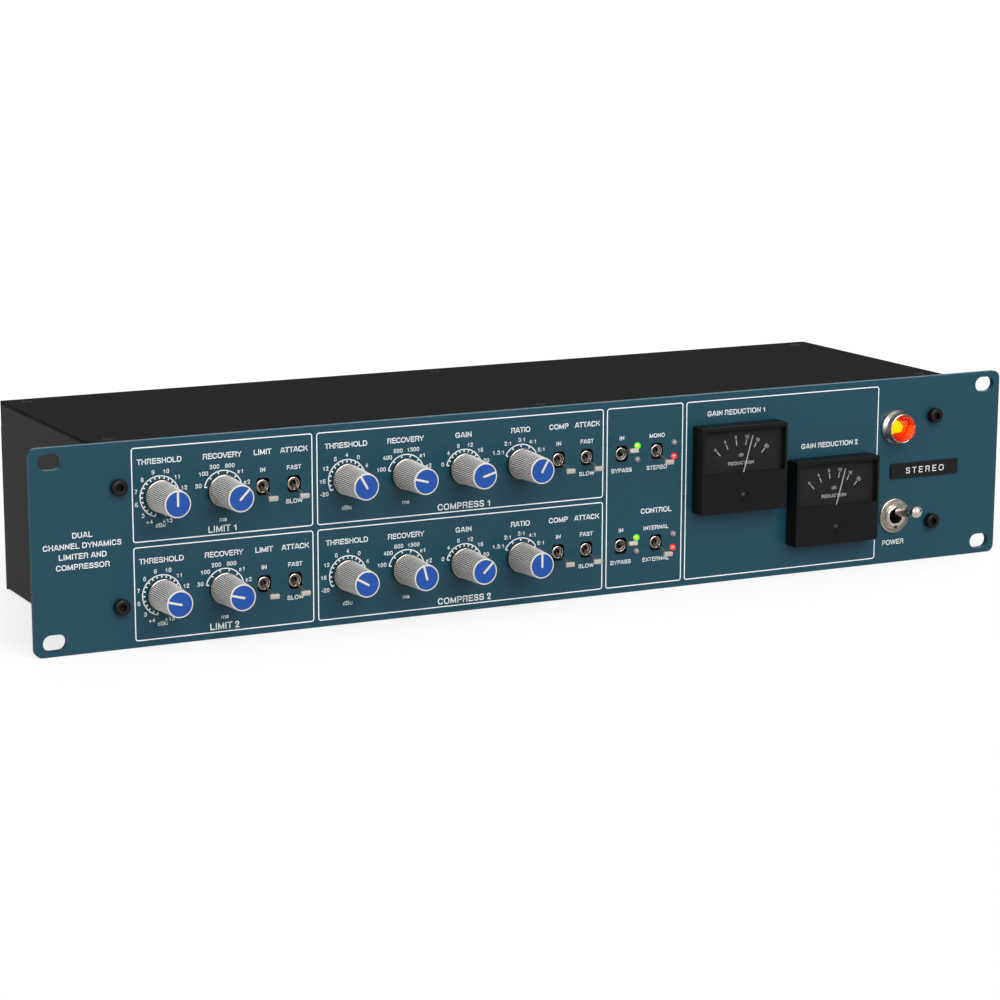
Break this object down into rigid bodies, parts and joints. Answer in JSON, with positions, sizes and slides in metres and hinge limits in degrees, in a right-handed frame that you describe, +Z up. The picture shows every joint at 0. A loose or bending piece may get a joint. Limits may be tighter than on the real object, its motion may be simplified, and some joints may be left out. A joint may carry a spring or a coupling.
{
  "type": "rack compressor",
  "caption": "Two-unit rack-mount stereo compressor and limiter: teal slotted front panel with fluted knobs, mini toggles, needle meters, pilot lamp and power switch on a black steel case.",
  "frame": {"origin": "centre of the rack-slot pattern, on the front panel's rear face", "axes": "+X to the operator's right, +Y to the rear of the unit, +Z up"},
  "size_m": [0.4826, 0.1557, 0.0882],
  "materials": {
    "panel_paint": "satin teal powder coat",
    "badge_black": "satin",
    "chassis_paint": "matte black powder coat",
    "black_screw": "black oxide",
    "switch_housing": "moulded",
    "bushing_metal": "nickel plated",
    "led_clear": "clear moulded",
    "circuit_board": "solder mask",
    "meter_black": "satin moulded",
    "meter_pane": "clear acrylic",
    "dial_black": "printed matte",
    "movement_metal": "plated",
    "polished_chrome": "polished",
    "jewel_amber": "cut amber lens",
    "bulb": "moulded",
    "connector_black": "moulded",
    "transformer_can": "lacquered",
    "component_black": "moulded",
    "knob_grey": "satin moulded",
    "lever_metal": "plated",
    "needle_white": "painted",
    "knob_cap_blue": "satin moulded",
    "print_white": "screen printed ink",
    "paddle_grey": "moulded"
  },
  "bodies": {
    "root": {"front_panel": "panel_paint", "badge_plate": "badge_black", "chassis_tray": "chassis_paint", "rear_panel": "chassis_paint", "top_cover": "chassis_paint", "cover_screws": "black_screw", "panel_screws": "black_screw", "pan_screws": "black_screw", "potentiometers": "switch_housing", "rotary_switches": "switch_housing", "toggle_switches": "bushing_metal", "status_leds": "led_clear", "control_board": "circuit_board", "meter_cases": "meter_black", "meter_windows": "meter_pane", "meter_dials": "dial_black", "meter_movements": "movement_metal", "lamp_bezel": "polished_chrome", "lamp_jewel": "jewel_amber", "lamp_bulb": "bulb", "power_switch_body": "bushing_metal", "power_switch_ring": "polished_chrome", "xlr_inputs": "connector_black", "xlr_outputs": "connector_black", "sidechain_jacks": "connector_black", "mains_inlet": "connector_black", "main_board": "circuit_board", "audio_transformers": "transformer_can", "board_components": "component_black", "power_transformer": "transformer_can"},
    "knob_limit_threshold_1": {"knob_limit_threshold_1": "knob_grey"},
    "knob_limit_threshold_2": {"knob_limit_threshold_2": "knob_grey"},
    "knob_limit_recovery_1": {"knob_limit_recovery_1": "knob_grey"},
    "knob_limit_recovery_2": {"knob_limit_recovery_2": "knob_grey"},
    "knob_comp_threshold_1": {"knob_comp_threshold_1": "knob_grey"},
    "knob_comp_threshold_2": {"knob_comp_threshold_2": "knob_grey"},
    "knob_comp_recovery_1": {"knob_comp_recovery_1": "knob_grey"},
    "knob_comp_recovery_2": {"knob_comp_recovery_2": "knob_grey"},
    "knob_comp_gain_1": {"knob_comp_gain_1": "knob_grey"},
    "knob_comp_gain_2": {"knob_comp_gain_2": "knob_grey"},
    "knob_comp_ratio_1": {"knob_comp_ratio_1": "knob_grey"},
    "knob_comp_ratio_2": {"knob_comp_ratio_2": "knob_grey"},
    "lever_limit_in_1": {"lever_limit_in_1": "lever_metal"},
    "lever_limit_attack_1": {"lever_limit_attack_1": "lever_metal"},
    "lever_comp_in_1": {"lever_comp_in_1": "lever_metal"},
    "lever_comp_attack_1": {"lever_comp_attack_1": "lever_metal"},
    "lever_bypass_1": {"lever_bypass_1": "lever_metal"},
    "lever_stereo_link": {"lever_stereo_link": "lever_metal"},
    "lever_limit_in_2": {"lever_limit_in_2": "lever_metal"},
    "lever_limit_attack_2": {"lever_limit_attack_2": "lever_metal"},
    "lever_comp_in_2": {"lever_comp_in_2": "lever_metal"},
    "lever_comp_attack_2": {"lever_comp_attack_2": "lever_metal"},
    "lever_bypass_2": {"lever_bypass_2": "lever_metal"},
    "lever_control_source": {"lever_control_source": "lever_metal"},
    "power_lever": {"power_lever": "polished_chrome"},
    "needle_1": {"needle_1": "needle_white"},
    "zero_screw_1": {"zero_screw_1": "meter_black"},
    "needle_2": {"needle_2": "needle_white"},
    "zero_screw_2": {"zero_screw_2": "meter_black"},
    "fuse_drawer": {"fuse_drawer": "connector_black"}
  },
  "joints": [
    {"name": "limit_threshold_1_turn", "type": "hinge", "parent": "root", "child": "knob_limit_threshold_1", "pos_m": [-0.185, -0.003, 0.0201], "axis": [0, 1, 0], "range_deg": [-165, 165]},
    {"name": "limit_threshold_2_turn", "type": "hinge", "parent": "root", "child": "knob_limit_threshold_2", "pos_m": [-0.185, -0.003, -0.0221], "axis": [0, 1, 0], "range_deg": [-90, 240]},
    {"name": "limit_recovery_1_turn", "type": "hinge", "parent": "root", "child": "knob_limit_recovery_1", "pos_m": [-0.157, -0.003, 0.0201], "axis": [0, 1, 0], "range_deg": [-120, 30]},
    {"name": "limit_recovery_2_turn", "type": "hinge", "parent": "root", "child": "knob_limit_recovery_2", "pos_m": [-0.157, -0.003, -0.0221], "axis": [0, 1, 0], "range_deg": [0, 150]},
    {"name": "comp_threshold_1_turn", "type": "hinge", "parent": "root", "child": "knob_comp_threshold_1", "pos_m": [-0.1, -0.003, 0.0201], "axis": [0, 1, 0], "range_deg": [-90, 150]},
    {"name": "comp_threshold_2_turn", "type": "hinge", "parent": "root", "child": "knob_comp_threshold_2", "pos_m": [-0.1, -0.003, -0.0221], "axis": [0, 1, 0], "range_deg": [-60, 180]},
    {"name": "comp_recovery_1_turn", "type": "hinge", "parent": "root", "child": "knob_comp_recovery_1", "pos_m": [-0.072, -0.003, 0.0201], "axis": [0, 1, 0], "range_deg": [0, 150]},
    {"name": "comp_recovery_2_turn", "type": "hinge", "parent": "root", "child": "knob_comp_recovery_2", "pos_m": [-0.072, -0.003, -0.0221], "axis": [0, 1, 0], "range_deg": [-60, 90]},
    {"name": "comp_gain_1_turn", "type": "hinge", "parent": "root", "child": "knob_comp_gain_1", "pos_m": [-0.044, -0.003, 0.0201], "axis": [0, 1, 0], "range_deg": [-150, 0]},
    {"name": "comp_gain_2_turn", "type": "hinge", "parent": "root", "child": "knob_comp_gain_2", "pos_m": [-0.044, -0.003, -0.0221], "axis": [0, 1, 0], "range_deg": [-120, 30]},
    {"name": "comp_ratio_1_turn", "type": "hinge", "parent": "root", "child": "knob_comp_ratio_1", "pos_m": [-0.016, -0.003, 0.0201], "axis": [0, 1, 0], "range_deg": [-90, 30]},
    {"name": "comp_ratio_2_turn", "type": "hinge", "parent": "root", "child": "knob_comp_ratio_2", "pos_m": [-0.016, -0.003, -0.0221], "axis": [0, 1, 0], "range_deg": [-60, 60]},
    {"name": "limit_in_1_flip", "type": "hinge", "parent": "root", "child": "lever_limit_in_1", "pos_m": [-0.1387, 0.0013, 0.0201], "axis": [1, 0, 0], "range_deg": [-24, 0]},
    {"name": "limit_attack_1_flip", "type": "hinge", "parent": "root", "child": "lever_limit_attack_1", "pos_m": [-0.1244, 0.0013, 0.0201], "axis": [1, 0, 0], "range_deg": [-24, 0]},
    {"name": "comp_in_1_flip", "type": "hinge", "parent": "root", "child": "lever_comp_in_1", "pos_m": [0.0031, 0.0013, 0.0201], "axis": [1, 0, 0], "range_deg": [-24, 0]},
    {"name": "comp_attack_1_flip", "type": "hinge", "parent": "root", "child": "lever_comp_attack_1", "pos_m": [0.0173, 0.0013, 0.0201], "axis": [1, 0, 0], "range_deg": [-24, 0]},
    {"name": "bypass_1_flip", "type": "hinge", "parent": "root", "child": "lever_bypass_1", "pos_m": [0.0351, 0.0013, 0.0201], "axis": [1, 0, 0], "range_deg": [0, 24]},
    {"name": "stereo_link_flip", "type": "hinge", "parent": "root", "child": "lever_stereo_link", "pos_m": [0.0533, 0.0013, 0.0201], "axis": [1, 0, 0], "range_deg": [-24, 0]},
    {"name": "limit_in_2_flip", "type": "hinge", "parent": "root", "child": "lever_limit_in_2", "pos_m": [-0.1387, 0.0013, -0.0221], "axis": [1, 0, 0], "range_deg": [-24, 0]},
    {"name": "limit_attack_2_flip", "type": "hinge", "parent": "root", "child": "lever_limit_attack_2", "pos_m": [-0.1244, 0.0013, -0.0221], "axis": [1, 0, 0], "range_deg": [-24, 0]},
    {"name": "comp_in_2_flip", "type": "hinge", "parent": "root", "child": "lever_comp_in_2", "pos_m": [0.0031, 0.0013, -0.0221], "axis": [1, 0, 0], "range_deg": [-24, 0]},
    {"name": "comp_attack_2_flip", "type": "hinge", "parent": "root", "child": "lever_comp_attack_2", "pos_m": [0.0173, 0.0013, -0.0221], "axis": [1, 0, 0], "range_deg": [-24, 0]},
    {"name": "bypass_2_flip", "type": "hinge", "parent": "root", "child": "lever_bypass_2", "pos_m": [0.0351, 0.0013, -0.0221], "axis": [1, 0, 0], "range_deg": [0, 24]},
    {"name": "control_source_flip", "type": "hinge", "parent": "root", "child": "lever_control_source", "pos_m": [0.0533, 0.0013, -0.0221], "axis": [1, 0, 0], "range_deg": [-24, 0]},
    {"name": "power_flip", "type": "hinge", "parent": "root", "child": "power_lever", "pos_m": [0.1827, 0.0012, -0.0212], "axis": [1, 0, 0], "range_deg": [0, 25]},
    {"name": "needle_1_swing", "type": "hinge", "parent": "root", "child": "needle_1", "pos_m": [0.0946, -0.0087, 0.00435], "axis": [0, 1, 0], "range_deg": [-61.5, 30.5], "stiffness_Nm_per_rad": 0.0001},
    {"name": "zero_screw_1_turn", "type": "hinge", "parent": "root", "child": "zero_screw_1", "pos_m": [0.0946, -0.0116, -0.00295], "axis": [0, 1, 0], "range_deg": [-30, 30]},
    {"name": "needle_2_swing", "type": "hinge", "parent": "root", "child": "needle_2", "pos_m": [0.1455, -0.0087, -0.01525], "axis": [0, 1, 0], "range_deg": [-61.5, 30.5], "stiffness_Nm_per_rad": 0.0001},
    {"name": "zero_screw_2_turn", "type": "hinge", "parent": "root", "child": "zero_screw_2", "pos_m": [0.1455, -0.0116, -0.02255], "axis": [0, 1, 0], "range_deg": [-30, 30]},
    {"name": "fuse_drawer_slide", "type": "slide", "parent": "root", "child": "fuse_drawer", "axis": [0, 1, 0], "range_m": [0, 0.022]}
  ]
}
